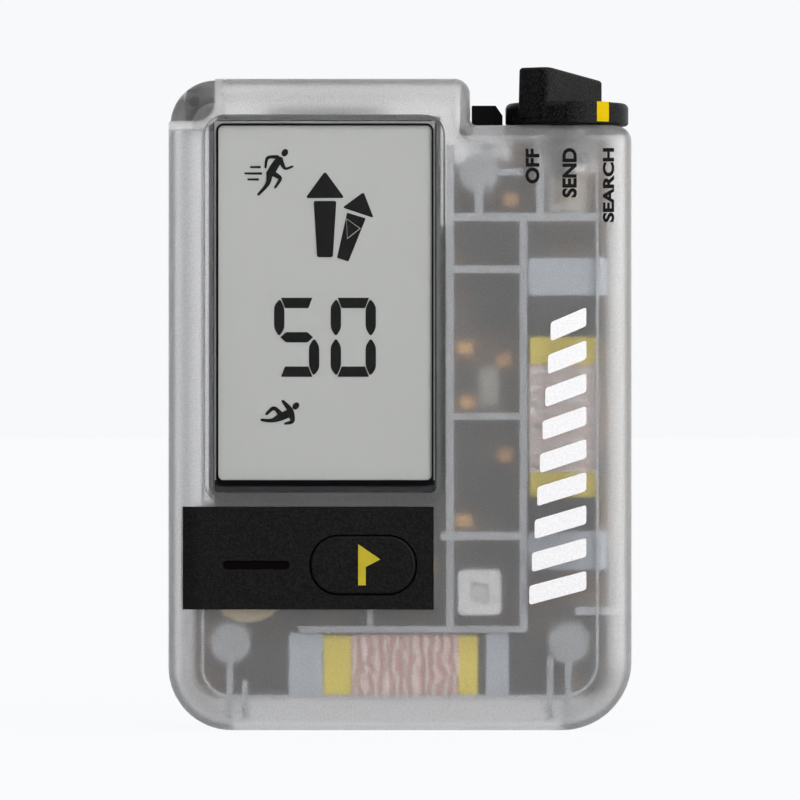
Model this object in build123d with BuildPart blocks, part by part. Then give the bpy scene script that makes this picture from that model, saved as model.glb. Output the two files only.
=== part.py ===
"""Avalanche transceiver, standing upright: front face towards -Y, +X to its right, +Z up, in millimetres.

The origin is at the middle of the bottom of the object's box.
"""

from build123d import *
import math
import os

# Case
HALF_WIDTH = 36.7
CASE_TOP = 103.26
KNOB_TOP = 105.0
FRONT = -10.75
BAND_FRONT = -11.0
BACK = 11.0
WALL = 1.8
PARTING = 5.0
SHOULDER = 95.8
STEP_X = 11.1
STEP_RADIUS = 1.4
SHOULDER_RADIUS = 0.8
STEP_CORNER_RADIUS = 1.0
SHOULDER_ROLL = 2.5
TOP_RADIUS = 7.5
LEFT_RADIUS = 10.0
RIGHT_RADIUS = 11.0
FRONT_ROLL = 5.0
BACK_ROLL = 4.0
INNER_FRONT = FRONT + WALL
INNER_BACK = BACK - WALL
FRAME_GAP = 0.05
FRAME_FRONT = INNER_FRONT + FRAME_GAP

# Circuit board
BOARD_FRONT = -1.6
BOARD_BACK = -0.4
BOARD_TOP = 90.3
BOARD_EAR_TOP = 93.4
RIB_BACK = BOARD_FRONT - 0.3

# Display, as X and Z ranges
LENS_X = (-31.0, 7.1)
LENS_Z = (36.1, 97.4)
LENS_RADIUS = 3.3
WINDOW_X = (-29.6, 5.8)
WINDOW_Z = (37.7, 96.6)
GLASS_X = (-29.3, 5.5)
GLASS_Z = (38.2, 96.4)
GLASS_LEDGE = 35.4
LENS_FLANGE = 0.9
LENS_BACK = -9.35
GLASS_FRONT = -8.9
GLASS_THICKNESS = 0.6
GUIDE_BACK = -6.9
HOLDER_BACK = -6.2

# Band cover and mark button
BAND_X = (-34.3, 5.3)
BAND_Z = (19.3, 35.5)
BAND_THICKNESS = 1.05
BUTTON_X = (-14.1, 2.5)
BUTTON_Z = (21.7, 30.9)
BUTTON_RADIUS = 4.4
BUTTON_FLANGE = 1.0
BUTTON_FLANGE_Y = (-8.85, -8.15)
SWITCH_FRONT = -5.1
PLUNGER_FRONT = -6.2
SLOT_X = (-28.0, -17.4)
SLOT_Z = (25.6, 27.0)

# Case screws, as X and Z of each boss
SCREW_PLACES = [(12.5, 88.3), (26.6, 13.9), (-26.8, 13.9)]
BOSS_RADIUS = 3.0
SCREW_RADIUS = 0.8
SCREW_TIP = -3.0

# Mode knob and its shaft, about a vertical axis
KNOB_X = 26.6
KNOB_RADIUS = 9.8
KNOB_Z = (96.0, 99.55)
LEVER_REACH = 10.0
LEVER_TAIL = 5.6
LEVER_WIDTH = 5.9
LEVER_NOSE = 1.3
LEVER_TAIL_TOP = 103.4
LEVER_BOTTOM = 97.2
LEVER_DRAFT = 0.3
LEVER_NEAR_EDGE = 0.8
LEVER_FAR_EDGE = 1.9
LEVER_TOP_EDGE = 0.6
PAD_X = (26.3, 33.2)
PAD_RISE = 0.2
LEVER_ANGLE = 35.0
MARKER_ANGLE = 33.6
MARKER_WIDTH = 2.3
SHAFT_RADIUS = 2.6
SHAFT_TIP_RADIUS = 2.4
SHAFT_END = 83.0
MAGNET_RADIUS = 1.6
MAGNET_HEIGHT = 1.5
RUNNING_FIT = 0.08
SLEEVE_RADIUS = 4.6
SLEEVE_END = 89.6
O_RING_Z = (91.4, 92.8)

# Lock button
LOCK_X = (11.45, 16.3)
LOCK_HALF_DEPTH = 3.4
LOCK_TOP = 99.1
LOCK_SLANT_Z = 97.5
LOCK_SLANT = 1.1
LOCK_SHELF = 91.5
LOCK_SPRING_TOP = 97.6
LOCK_FOOT = 92.9

# Battery bay, door and hinge
CELL_X = -12.0
CELL_Y = 2.15
CELL_RADIUS = 7.15
CELL_Z = (40.9, 91.3)
BAY_X = (-20.2, -3.8)
BAY_Z = (38.6, 91.6)
BAY_FLOOR = -5.15
BAY_WALL = 1.3
DOOR_X = (-21.6, -2.4)
DOOR_Z = (36.9, 99.0)
DOOR_INNER = 9.5
HINGE_Y = 9.3
HINGE_Z = 34.6
BARREL_X = (-16.0, -8.0)
BARREL_RADIUS = 1.65
HINGE_PIN_RADIUS = 0.75
COIN_SCREW_Z = 96.2
COIN_HEAD_RADIUS = 2.6
COIN_SHANK_RADIUS = 1.45

# Lanyard pocket in the top left corner
POCKET_X = -29.3
POCKET_Z = 96.4
POCKET_Y = (-7.6, 3.5)
POCKET_WALL = 1.2
POCKET_RADIUS = 3.0
LANYARD_PIN = (-32.3, 99.3)
LANYARD_PIN_RADIUS = 0.8
LANYARD_PIN_SEAT = 0.8

# Antennas
CORE_Y = (-7.1, -2.7)
UPRIGHT_CORE_X = (20.9, 30.9)
LEVEL_CORE_Z = (6.0, 14.8)


def middle(span):
    return (span[0] + span[1]) / 2


def length(span):
    return span[1] - span[0]


def grown(span, margin):
    return (span[0] - margin, span[1] + margin)


def at_depth(y):
    """A plane that faces the front at depth y, with X and Z as its own axes."""
    return Plane.XZ.offset(-y)


def slab(x, z, y, radius=0.0, mode=Mode.ADD):
    """A plate over the X, Z and Y ranges, with rounded corners in front view where a radius is given."""
    with BuildSketch(at_depth(y[1])) as face:
        with Locations((middle(x), middle(z))):
            if radius:
                RectangleRounded(length(x), length(z), radius)
            else:
                Rectangle(length(x), length(z))
    extrude(face.sketch, amount=length(y), mode=mode)


def post(place, radius, y, mode=Mode.ADD):
    """A cylinder along Y at an (X, Z) place."""
    with BuildSketch(at_depth(y[1])) as face:
        with Locations(place):
            Circle(radius)
    extrude(face.sketch, amount=length(y), mode=mode)


def column(x, y, radius, z, mode=Mode.ADD):
    """A cylinder along Z."""
    with BuildSketch(Plane.XY.offset(z[0])) as face:
        with Locations((x, y)):
            Circle(radius)
    extrude(face.sketch, amount=length(z), mode=mode)


def crossbar(y, z, radius, x, mode=Mode.ADD):
    """A cylinder along X."""
    with BuildSketch(Plane.YZ.offset(x[0])) as face:
        with Locations((y, z)):
            Circle(radius)
    extrude(face.sketch, amount=length(x), mode=mode)


def panel(plane, inset):
    """The case's rounded outline before the step is cut out of it."""
    with BuildSketch(plane) as face:
        with Locations((0, CASE_TOP / 2)):
            Rectangle(2 * (HALF_WIDTH - inset), CASE_TOP - 2 * inset)
        top = face.vertices().group_by(Axis.Y)[-1]
        fillet(top, TOP_RADIUS - inset)
        left = face.vertices().group_by(Axis.Y)[0].sort_by(Axis.X)[0]
        fillet(left, LEFT_RADIUS - inset)
        right = face.vertices().group_by(Axis.Y)[0].sort_by(Axis.X)[-1]
        fillet(right, RIGHT_RADIUS - inset)
    return face.sketch


def step_corner(inset):
    """The corner above the shoulder, where the knob stands."""
    with BuildSketch(at_depth(0)) as corner:
        with Locations((STEP_X - inset, SHOULDER - inset)):
            Rectangle(HALF_WIDTH, CASE_TOP, align=(Align.MIN, Align.MIN))
        fillet(corner.vertices().sort_by(Axis((0, 0, 0), (1, 1, 0)))[0], STEP_CORNER_RADIUS)
    return corner.sketch


def round_tips(inset):
    """Rounds the two convex corners that the step leaves in the outline of the part being made."""
    for tip, radius in (((STEP_X, CASE_TOP), STEP_RADIUS), ((HALF_WIDTH, SHOULDER), SHOULDER_RADIUS)):
        if radius > inset:
            with BuildSketch(at_depth(0)) as loss:
                with Locations((tip[0] - radius, tip[1] - radius)):
                    Rectangle(radius - inset, radius - inset, align=(Align.MIN, Align.MIN))
                    Circle(radius - inset, mode=Mode.SUBTRACT)
            extrude(loss.sketch, amount=2 * BACK, both=True, mode=Mode.SUBTRACT)


def case_form(inset, y, front_roll, back_roll, shoulder_roll=0.0):
    """The rolled-edge form of the case, drawn in by an inset, between two depths."""
    with BuildPart() as form:
        extrude(panel(at_depth(y[1]), inset), amount=length(y))
        fillet(form.faces().sort_by(Axis.Y)[0].edges(), front_roll)
        fillet(form.faces().sort_by(Axis.Y)[-1].edges(), back_roll)
        extrude(step_corner(inset), amount=2 * BACK, both=True, mode=Mode.SUBTRACT)
        if shoulder_roll:
            level = form.faces().filter_by(Plane.XY).sort_by(Axis.Z)[-2]
            rims = level.edges().filter_by(Axis.X).sort_by(Axis.Y)
            fillet([rims[0], rims[-1]], shoulder_roll)
        round_tips(inset)
    return form.part


def case_ring(outer, inner, y):
    """A ring that follows the case's outline between two insets."""
    with BuildPart() as ring:
        extrude(panel(at_depth(y[1]), outer), amount=length(y))
        extrude(step_corner(outer), amount=2 * BACK, both=True, mode=Mode.SUBTRACT)
        round_tips(outer)
        extrude(panel(at_depth(y[1]), inner) - step_corner(inner).moved(Location((0, y[1], 0))),
                amount=length(y), mode=Mode.SUBTRACT)
    return ring.part


def spring_wire(radius, wire, turns, bottom, top, center):
    """A coil spring along Z, from bottom to top over its wire."""
    height = top - bottom - 2 * wire
    with BuildPart() as spring:
        with BuildLine(Plane.XY.offset(bottom + wire)) as path:
            Helix(pitch=height / turns, height=height, radius=radius)
        with BuildSketch(Plane(path.line @ 0, z_dir=path.line % 0)) as section:
            Circle(wire)
        sweep(section.sketch, path=path.line)
    return spring.part.moved(Location(center))


def pocket_block(margin):
    """Takes away the solid corner round the lanyard pocket, grown by a margin."""
    reach = POCKET_WALL + margin
    slab((-2 * HALF_WIDTH, POCKET_X + reach), (POCKET_Z - reach, 2 * CASE_TOP), grown(POCKET_Y, reach),
         radius=POCKET_RADIUS + reach, mode=Mode.SUBTRACT)


outer_form = case_form(0, (FRONT, BACK), FRONT_ROLL, BACK_ROLL, SHOULDER_ROLL)
lanyard_pin_y = grown(POCKET_Y, LANYARD_PIN_SEAT)
with BuildPart() as hollow:
    add(case_form(WALL, (INNER_FRONT, INNER_BACK), FRONT_ROLL - WALL, BACK_ROLL - WALL))
    pocket_block(0)
with BuildPart() as pocket:
    slab((-2 * HALF_WIDTH, POCKET_X), (POCKET_Z, 2 * CASE_TOP), POCKET_Y, radius=POCKET_RADIUS)
    post(LANYARD_PIN, LANYARD_PIN_RADIUS, lanyard_pin_y)
with BuildPart() as band_skin:
    add(case_form(-0.25, (BAND_FRONT, BACK), FRONT_ROLL + 0.25, BACK_ROLL))
    inner = BAND_THICKNESS - 0.25
    add(case_form(inner, (FRONT + inner, BACK), FRONT_ROLL - inner, BACK_ROLL), mode=Mode.SUBTRACT)

with BuildPart() as band_seat:
    add(band_skin.part)
    slab(grown(BAND_X, 0.08), grown(BAND_Z, 0.08), (FRONT - 1, 0), mode=Mode.INTERSECT)

# Inner frame: crossing ribs, a thin ring near the walls, the screw bosses and the lock spring's shelf
RIBS = [
    ((7.3, 8.5), (15.7, 92.7)),
    ((18.9, 20.1), (16.0, 81.0)),
    ((8.4, 35.1), (80.6, 81.9)),
    ((8.4, 19.0), (72.4, 73.6)),
    ((8.4, 19.0), (49.2, 50.3)),
    ((6.4, 19.0), (30.2, 31.5)),
    ((-16.0, 20.0), (15.6, 16.6)),
    ((27.7, 35.1), (18.4, 19.6)),
    ((21.5, 22.7), (81.8, 89.3)),
    ((15.2, 19.6), (87.8, 88.9)),
    ((11.8, 13.1), (81.8, 85.6)),
    ((-27.4, -26.4), (0.0, 11.7)),
    ((-24.95, -24.0), (0.0, 8.0)),
    ((-5.2, -4.3), (16.5, 19.3)),
    ((23.2, 24.2), (0.0, 11.7)),
    ((26.1, 27.1), (0.0, 11.7)),
]
with BuildPart() as inner_frame:
    add(case_ring(5.3, 5.75, (FRAME_FRONT, FRAME_FRONT + 1.1)))
    slab((POCKET_X, HALF_WIDTH), (SHOULDER - WALL - 5, CASE_TOP), (FRONT, 0), mode=Mode.SUBTRACT)
    for rib_x, rib_z in RIBS:
        slab(rib_x, rib_z, (FRAME_FRONT, RIB_BACK))
    for place in SCREW_PLACES:
        post(place, BOSS_RADIUS, (FRAME_FRONT, PARTING))
        post(place, SCREW_RADIUS, (SCREW_TIP - 0.3, PARTING), mode=Mode.SUBTRACT)
    slab((10.9, 16.8), (LOCK_SHELF - 0.9, LOCK_SHELF), (-3.0, 3.0))
    pocket_block(0.1)
    room = WALL + FRAME_GAP
    add(case_form(room, (FRONT + room, BACK - room), FRONT_ROLL - room, BACK_ROLL - room),
        mode=Mode.INTERSECT)

# Front half of the case
with BuildPart() as front_shell:
    add(outer_form)
    add(hollow.part, mode=Mode.SUBTRACT)
    split(bisect_by=at_depth(PARTING), keep=Keep.TOP)
    column(KNOB_X, 0, SLEEVE_RADIUS, (SLEEVE_END, SHOULDER - 0.5))
    column(KNOB_X, 0, SHAFT_RADIUS + RUNNING_FIT, (SLEEVE_END, SHOULDER + 1), mode=Mode.SUBTRACT)
    column(KNOB_X, 0, SHAFT_RADIUS + 1.0, O_RING_Z, mode=Mode.SUBTRACT)
    slab(grown(LOCK_X, 0.15), (LOCK_SHELF + 1, SHOULDER + 1),
         (-LOCK_HALF_DEPTH - 0.15, LOCK_HALF_DEPTH + 0.15), mode=Mode.SUBTRACT)
    slab(WINDOW_X, WINDOW_Z, (FRONT - 1, INNER_FRONT + 0.1), radius=1.0, mode=Mode.SUBTRACT)
    slab(grown(LENS_X, 0.08), grown(LENS_Z, 0.08), (FRONT - 1, FRONT + LENS_FLANGE + 0.05),
         radius=LENS_RADIUS, mode=Mode.SUBTRACT)
    add(band_seat.part, mode=Mode.SUBTRACT)
    slab(grown(BUTTON_X, 0.25), grown(BUTTON_Z, 0.25), (FRONT, INNER_FRONT + 0.1),
         radius=BUTTON_RADIUS + 0.25, mode=Mode.SUBTRACT)
    post((-23.4, 26.3), 1.0, (FRONT, INNER_FRONT + 0.1), mode=Mode.SUBTRACT)
    add(case_ring(0.55, 1.25, (PARTING - 0.7, PARTING)), mode=Mode.SUBTRACT)
    add(pocket.part, mode=Mode.SUBTRACT)

with BuildPart() as shell_gasket:
    add(case_ring(0.55, 1.25, (PARTING - 0.7, PARTING)))

# Back half of the case, with the battery bay, the hinge seat and the coin screw's boss
with BuildPart() as back_shell:
    add(outer_form)
    add(hollow.part, mode=Mode.SUBTRACT)
    split(bisect_by=at_depth(PARTING), keep=Keep.BOTTOM)
    slab(grown(BAY_X, BAY_WALL), grown(BAY_Z, BAY_WALL), (BAY_FLOOR - 0.8, INNER_BACK + 0.1), radius=1.5)
    slab((-23.6, -0.4), (30.9, 99.6), (7.6, INNER_BACK + 0.2))
    slab((-23.6, -0.4), (30.9, 38.0), (6.0, INNER_BACK + 0.2))
    post((CELL_X, COIN_SCREW_Z), 3.0, (5.3, INNER_BACK))
    for place in SCREW_PLACES:
        post(place, BOSS_RADIUS, (PARTING, INNER_BACK + 0.1))
        post(place, SCREW_RADIUS + 0.1, (PARTING, BACK + 1), mode=Mode.SUBTRACT)
        post(place, 2.2, (7.0, BACK + 1), mode=Mode.SUBTRACT)
    slab(BAY_X, BAY_Z, (BAY_FLOOR, BACK + 1), radius=1.0, mode=Mode.SUBTRACT)
    slab(grown(DOOR_X, 0.2), (DOOR_Z[0] - 0.9, DOOR_Z[1] + 0.2), (DOOR_INNER, BACK + 1), mode=Mode.SUBTRACT)
    crossbar(HINGE_Y, HINGE_Z, BARREL_RADIUS + 0.35, grown(BARREL_X, 0.3), mode=Mode.SUBTRACT)
    slab(grown(BARREL_X, 0.3), (HINGE_Z - BARREL_RADIUS - 0.35, DOOR_Z[0]), (HINGE_Y, BACK + 1),
         mode=Mode.SUBTRACT)
    crossbar(HINGE_Y, HINGE_Z, HINGE_PIN_RADIUS, grown(BARREL_X, 4.4), mode=Mode.SUBTRACT)
    post((CELL_X, COIN_SCREW_Z), COIN_SHANK_RADIUS + 0.5, (5.8, BACK), mode=Mode.SUBTRACT)
    slab(grown(BAY_X, 1.2), grown(BAY_Z, 1.2), (DOOR_INNER - 1.0, DOOR_INNER), radius=2.0,
         mode=Mode.SUBTRACT)
    slab(grown(BAY_X, 0.4), grown(BAY_Z, 0.4), (DOOR_INNER - 1.0, DOOR_INNER), radius=1.2)
    slab(BAY_X, BAY_Z, (DOOR_INNER - 1.1, DOOR_INNER + 0.1), radius=1.0, mode=Mode.SUBTRACT)
    add(pocket.part, mode=Mode.SUBTRACT)

with BuildPart() as case_screws:
    for place in SCREW_PLACES:
        post(place, SCREW_RADIUS, (SCREW_TIP, 7.0))
        post(place, 1.9, (7.0, 8.4))
        for arm in ((0.5, 2.2), (2.2, 0.5)):
            arm_x = (place[0] - arm[0] / 2, place[0] + arm[0] / 2)
            arm_z = (place[1] - arm[1] / 2, place[1] + arm[1] / 2)
            slab(arm_x, arm_z, (7.6, 8.5), mode=Mode.SUBTRACT)

with BuildPart() as lanyard_pin:
    post(LANYARD_PIN, LANYARD_PIN_RADIUS, lanyard_pin_y)

# Display
with BuildPart() as display_lens:
    slab(LENS_X, LENS_Z, (FRONT, FRONT + LENS_FLANGE), radius=LENS_RADIUS)
    rim = display_lens.faces().sort_by(Axis.Y)[0].edges()
    chamfer(rim, 0.25)
    slab(grown(WINDOW_X, -0.1), grown(WINDOW_Z, -0.1), (FRONT + LENS_FLANGE, LENS_BACK), radius=0.9)

with BuildPart() as display_gasket:
    slab((-29.05, 5.3), (38.75, 96.05), (LENS_BACK, GLASS_FRONT), radius=1.2)
    slab((-28.7, 5.0), (39.7, 95.7), (LENS_BACK, GLASS_FRONT), radius=0.8, mode=Mode.SUBTRACT)

glass_middle = GLASS_FRONT + GLASS_THICKNESS
glass_back = glass_middle + GLASS_THICKNESS
with BuildPart() as lcd_front_glass:
    slab(GLASS_X, (GLASS_LEDGE, GLASS_Z[1]), (GLASS_FRONT, glass_middle))

with BuildPart() as lcd_rear_glass:
    slab(GLASS_X, GLASS_Z, (glass_middle, glass_back))

with BuildPart() as light_guide:
    slab(grown(GLASS_X, -0.3), grown(GLASS_Z, -0.3), (glass_back, GUIDE_BACK))

with BuildPart() as lcd_holder:
    slab((-30.2, 6.4), (37.2, 97.2), (GLASS_FRONT, HOLDER_BACK), radius=0.6)
    slab(grown(GLASS_X, 0.05), (GLASS_Z[0] - 0.1, GLASS_Z[1] + 0.05), (GLASS_FRONT, GUIDE_BACK),
         mode=Mode.SUBTRACT)
    slab(grown(GLASS_X, 0.05), (GLASS_LEDGE - 1, GLASS_Z[0]), (GLASS_FRONT, glass_middle + 0.05),
         mode=Mode.SUBTRACT)
    pocket_block(0.1)

with BuildPart() as zebra_strip:
    slab((-27.0, 3.0), (35.6, 36.7), (glass_middle, BOARD_FRONT))

# Band cover with the mark button and the status light
with BuildPart() as band_cover:
    add(band_skin.part)
    slab(BAND_X, BAND_Z, (FRONT - 1, 0), mode=Mode.INTERSECT)
    slab(SLOT_X, SLOT_Z, (BAND_FRONT - 1, 0), radius=0.69, mode=Mode.SUBTRACT)
    slab(grown(BUTTON_X, 0.2), grown(BUTTON_Z, 0.2), (BAND_FRONT - 1, 0), radius=BUTTON_RADIUS + 0.2,
         mode=Mode.SUBTRACT)

with BuildPart() as status_window:
    slab(grown(SLOT_X, -0.04), grown(SLOT_Z, -0.04), (BAND_FRONT + 0.35, BAND_FRONT + BAND_THICKNESS - 0.03),
         radius=0.65)

# A flag on a pole, pressed into the face of the mark button
FLAG_X = (-6.6, -3.1)
FLAG_Z = (23.1, 29.6)
FLAG_FOOT = 26.0
with BuildSketch(at_depth(BAND_FRONT + 0.3)) as flag:
    with BuildLine():
        Polyline((FLAG_X[0], FLAG_Z[0]), (FLAG_X[0] + 1.2, FLAG_Z[0]), (FLAG_X[0] + 1.2, FLAG_FOOT),
                 (FLAG_X[1], FLAG_FOOT + 1.2), (FLAG_X[0], FLAG_Z[1]), close=True)
    make_face()

with BuildPart() as mark_button:
    slab(BUTTON_X, BUTTON_Z, (BAND_FRONT, BUTTON_FLANGE_Y[0]), radius=BUTTON_RADIUS)
    fillet(mark_button.faces().sort_by(Axis.Y)[0].edges(), 0.4)
    slab(grown(BUTTON_X, BUTTON_FLANGE), grown(BUTTON_Z, BUTTON_FLANGE), BUTTON_FLANGE_Y, radius=3.0)
    post((middle(BUTTON_X), middle(BUTTON_Z)), 1.6, (BUTTON_FLANGE_Y[1], PLUNGER_FRONT))
    extrude(flag.sketch, amount=0.3, mode=Mode.SUBTRACT)

with BuildPart() as mark_button_icon:
    extrude(flag.sketch, amount=0.3)

with BuildPart() as switch_plunger:
    post((middle(BUTTON_X), middle(BUTTON_Z)), 1.5, (PLUNGER_FRONT, SWITCH_FRONT + 0.9))

with BuildPart() as push_switch:
    switch_x = (middle(BUTTON_X) - 3, middle(BUTTON_X) + 3)
    switch_z = (middle(BUTTON_Z) - 3, middle(BUTTON_Z) + 3)
    slab(switch_x, switch_z, (SWITCH_FRONT, BOARD_FRONT), radius=0.4)
    post((middle(BUTTON_X), middle(BUTTON_Z)), 1.6, (SWITCH_FRONT, SWITCH_FRONT + 1.9), mode=Mode.SUBTRACT)

with BuildPart() as light_pipe:
    post((-23.4, 26.3), 0.95, (FRONT + 0.85, -8.3))
    slab((-24.3, -15.5), (25.6, 27.0), (-8.8, -7.7))
    slab((-16.8, -15.5), (25.6, 27.0), (-7.8, -2.5))

with BuildPart() as status_light:
    slab((-17.0, -15.4), (25.5, 27.1), (-2.4, BOARD_FRONT))

# Buzzer
BUZZER = (-24.0, 24.0)
with BuildPart() as buzzer_cup:
    post(BUZZER, 6.8, (-6.9, BOARD_FRONT))
    post(BUZZER, 6.0, (-6.9, BOARD_FRONT - 0.7), mode=Mode.SUBTRACT)

with BuildPart() as buzzer_disc:
    post(BUZZER, 6.8, (-7.1, -6.9))
    post(BUZZER, 4.6, (-7.25, -7.1))

# Circuit board and what is soldered to it
with BuildPart() as main_board:
    slab((-33.0, 33.6), (5.0, 36.7), (BOARD_FRONT, BOARD_BACK), radius=4.0)
    slab((0.2, 33.6), (30.0, 80.0), (BOARD_FRONT, BOARD_BACK), radius=1.0)
    slab((8.4, 33.6), (76.0, BOARD_TOP), (BOARD_FRONT, BOARD_BACK), radius=1.0)
    for ear_x in ((17.5, 21.7), (31.5, 33.6)):
        slab(ear_x, (80.0, BOARD_EAR_TOP), (BOARD_FRONT, BOARD_BACK), radius=0.6)
    slab(grown((KNOB_X, KNOB_X), SHAFT_RADIUS + 0.2), (SHAFT_END - 0.5, BOARD_TOP),
         (BOARD_FRONT, BOARD_BACK), mode=Mode.SUBTRACT)
    slab(grown((KNOB_X, KNOB_X), SLEEVE_RADIUS + 0.3), (SLEEVE_END - 1.0, BOARD_TOP),
         (BOARD_FRONT, BOARD_BACK), mode=Mode.SUBTRACT)
    for place in SCREW_PLACES:
        post(place, BOSS_RADIUS + 0.3, (BOARD_FRONT, BOARD_BACK), mode=Mode.SUBTRACT)


def chip(x, z, width, height, thickness):
    """A soldered part standing on the front of the board."""
    half = (width / 2, height / 2)
    slab((x - half[0], x + half[0]), (z - half[1], z + half[1]), (BOARD_FRONT - thickness, BOARD_FRONT))


with BuildPart() as microcontroller:
    chip(13.6, 38.4, 8.0, 8.0, 1.0)

with BuildPart() as radio_amplifier:
    chip(14.4, 66.6, 5.0, 5.0, 0.9)

with BuildPart() as motion_sensor:
    chip(12.0, 77.0, 3.0, 3.0, 0.9)

with BuildPart() as power_chip:
    chip(13.4, 27.9, 3.4, 3.0, 0.9)

with BuildPart() as crystal:
    chip(14.2, 54.4, 3.2, 6.4, 1.4)

with BuildPart() as capacitors:
    for x, z in ((16.6, 58.6), (16.8, 43.6), (10.1, 33.2), (10.3, 60.6), (17.6, 84.2), (10.6, 52.0),
                 (4.8, 26.0)):
        chip(x, z, 2.4, 2.0, 2.4)

with BuildPart() as resistors:
    for step in range(5):
        chip(10.0 + 1.7 * step, 46.8, 0.8, 1.5, 0.5)
        chip(10.0 + 1.7 * step, 71.0, 0.8, 1.5, 0.5)

with BuildPart() as hall_sensors:
    for x in (KNOB_X - 3, KNOB_X, KNOB_X + 3):
        chip(x, 78.2, 1.6, 2.6, 0.9)


# Antennas: the upright one along Z, the level one along X, and the square one facing the front
def bar_tube(plane, width, depth, wall, reach):
    """A square tube of one wall's thickness round a bar's section, standing on a plane."""
    with BuildSketch(plane) as section:
        Rectangle(width + 2 * wall, depth + 2 * wall)
        Rectangle(width, depth, mode=Mode.SUBTRACT)
    extrude(section.sketch, amount=reach)


def upright_plane(z):
    return Plane((middle(UPRIGHT_CORE_X), middle(CORE_Y), z))


def level_plane(x):
    return Plane((x, middle(CORE_Y), middle(LEVEL_CORE_Z)), x_dir=(0, 0, 1), z_dir=(1, 0, 0))


upright_size = (length(UPRIGHT_CORE_X), length(CORE_Y))
level_size = (length(LEVEL_CORE_Z), length(CORE_Y))

with BuildPart() as upright_core:
    slab(UPRIGHT_CORE_X, (26.4, 73.8), CORE_Y, radius=0.4)

with BuildPart() as upright_winding:
    bar_tube(upright_plane(40.9), *upright_size, 0.45, 17.1)

with BuildPart() as upright_tape:
    bar_tube(upright_plane(37.0), *upright_size, 0.3, 3.9)
    bar_tube(upright_plane(58.0), *upright_size, 0.3, 4.3)

with BuildPart() as upright_holders:
    for holder_z in ((25.5, 31.6), (68.9, 74.8)):
        slab((20.3, 32.6), holder_z, (CORE_Y[0] - 0.6, BOARD_FRONT), radius=0.5)
    slab(UPRIGHT_CORE_X, (26.4, 73.8), CORE_Y, radius=0.4, mode=Mode.SUBTRACT)

with BuildPart() as level_core:
    slab((-23.7, 22.9), LEVEL_CORE_Z, CORE_Y, radius=0.4)

with BuildPart() as level_winding:
    bar_tube(level_plane(-7.7), *level_size, 0.45, 17.0)

with BuildPart() as level_tape:
    bar_tube(level_plane(-12.1), *level_size, 0.3, 4.4)
    bar_tube(level_plane(9.3), *level_size, 0.3, 3.0)

with BuildPart() as level_holders:
    for holder_x in ((-17.6, -12.2), (13.6, 17.2)):
        slab(holder_x, (5.3, 15.5), (CORE_Y[0] - 0.6, BOARD_FRONT), radius=0.5)
    slab((-23.7, 22.9), LEVEL_CORE_Z, CORE_Y, radius=0.4, mode=Mode.SUBTRACT)

with BuildPart() as square_antenna:
    slab((9.2, 16.0), (18.3, 25.5), (-7.6, BOARD_FRONT), radius=0.9)
    slab((11.2, 14.0), (20.4, 23.4), (-7.6, -2.2), radius=0.4, mode=Mode.SUBTRACT)

with BuildPart() as square_antenna_core:
    slab((11.3, 13.9), (20.5, 23.3), (-7.2, -2.2), radius=0.3)

# Battery, its contacts and door
with BuildPart() as battery_cell:
    column(CELL_X, CELL_Y, CELL_RADIUS, (CELL_Z[0], CELL_Z[1] - 1.0))
    fillet(battery_cell.edges().filter_by(GeomType.CIRCLE), 0.6)
    column(CELL_X, CELL_Y, 2.7, (CELL_Z[1] - 1.0, CELL_Z[1]))

with BuildPart() as battery_contact:
    slab((CELL_X - 4, CELL_X + 4), (CELL_Z[1], BAY_Z[1]), (CELL_Y - 4, CELL_Y + 4))

battery_spring_coil = spring_wire(2.6, 0.3, 1.5, BAY_Z[0] + 0.3, CELL_Z[0], (CELL_X, CELL_Y, 0))
with BuildPart() as battery_spring_plate:
    slab((CELL_X - 4, CELL_X + 4), (BAY_Z[0], BAY_Z[0] + 0.3), (CELL_Y - 4, CELL_Y + 4))

with BuildPart() as battery_spring:
    add(battery_spring_coil)

with BuildPart() as door_gasket:
    slab(grown(BAY_X, 1.2), grown(BAY_Z, 1.2), (DOOR_INNER - 1.0, DOOR_INNER - 0.05), radius=2.0)
    slab(grown(BAY_X, 0.4), grown(BAY_Z, 0.4), (DOOR_INNER - 1.0, DOOR_INNER - 0.05), radius=1.2,
         mode=Mode.SUBTRACT)

with BuildPart() as battery_door:
    slab(DOOR_X, DOOR_Z, (DOOR_INNER, BACK), radius=1.5)
    fillet(battery_door.faces().sort_by(Axis.Y)[-1].edges(), 0.4)
    for groove in range(5):
        groove_z = 52.0 + 3.0 * groove
        slab((CELL_X - 6, CELL_X + 6), (groove_z, groove_z + 1.2), (BACK - 0.4, BACK), mode=Mode.SUBTRACT)
    slab(BARREL_X, (HINGE_Z, DOOR_Z[0] + 1.5), (DOOR_INNER, HINGE_Y + BARREL_RADIUS))
    crossbar(HINGE_Y, HINGE_Z, BARREL_RADIUS, BARREL_X)
    crossbar(HINGE_Y, HINGE_Z, HINGE_PIN_RADIUS + 0.05, BARREL_X, mode=Mode.SUBTRACT)
    post((CELL_X, COIN_SCREW_Z), COIN_SHANK_RADIUS + 0.1, (DOOR_INNER, BACK), mode=Mode.SUBTRACT)
    post((CELL_X, COIN_SCREW_Z), COIN_HEAD_RADIUS + 0.1, (BACK - 0.9, BACK), mode=Mode.SUBTRACT)

with BuildPart() as door_hinge_pin:
    crossbar(HINGE_Y, HINGE_Z, HINGE_PIN_RADIUS, grown(BARREL_X, 4.4))

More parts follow.
